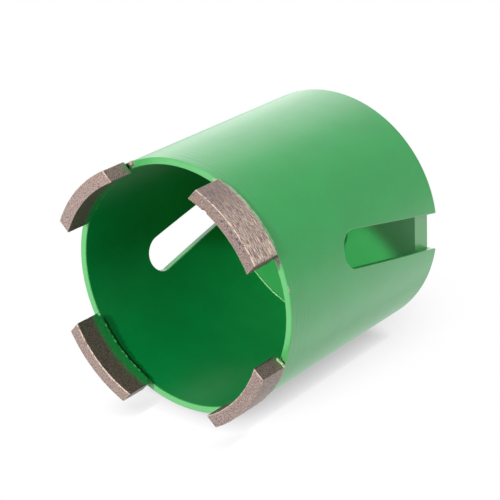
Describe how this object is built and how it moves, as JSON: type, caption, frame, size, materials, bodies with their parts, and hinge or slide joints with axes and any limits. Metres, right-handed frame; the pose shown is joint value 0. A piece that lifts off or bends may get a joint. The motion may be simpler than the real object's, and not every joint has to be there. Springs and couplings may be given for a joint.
{
  "type": "core drill bit",
  "caption": "Dry core drill bit: a painted steel barrel with slanted chip slots, a threaded back plate and sintered cutting segments on its rim.",
  "frame": {"origin": "centre of the barrel's back face, where the bit stands on a flat surface", "axes": "+Z along the barrel's axis towards the cutting segments, +X through the middle of one chip slot"},
  "size_m": [0.0706, 0.0706, 0.079],
  "materials": {
    "green_paint": "semi-gloss green powder coat",
    "sintered_segment": "rough sintered metal, pinkish brown"
  },
  "bodies": {
    "root": {"barrel": "green_paint", "back_plate": "green_paint", "segment_1": "sintered_segment", "segment_2": "sintered_segment", "segment_3": "sintered_segment", "segment_4": "sintered_segment"}
  },
  "joints": []
}
